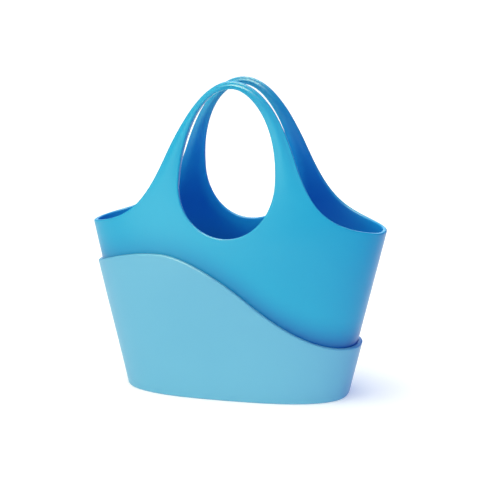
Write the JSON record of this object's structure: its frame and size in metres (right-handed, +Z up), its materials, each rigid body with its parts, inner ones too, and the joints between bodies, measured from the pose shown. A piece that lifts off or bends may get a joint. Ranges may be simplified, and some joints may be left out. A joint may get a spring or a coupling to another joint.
{
  "type": "moulded tote bag",
  "caption": "Open moulded tote with tall arched handles round egg-shaped hand holes, standing in a close-fitting base sleeve with a wave-shaped top edge.",
  "frame": {"origin": "on the ground, under the middle of the bag", "axes": "+Z up to the handles, X along the bag's length with the sleeve's high end at -X, -Y towards the front"},
  "size_m": [0.3524, 0.1512, 0.3715],
  "materials": {
    "bag_plastic": "satin mid-blue moulded plastic",
    "sleeve_plastic": "satin light-blue moulded plastic"
  },
  "bodies": {
    "root": {"bag_body": "bag_plastic", "base_sleeve": "sleeve_plastic"}
  },
  "joints": []
}
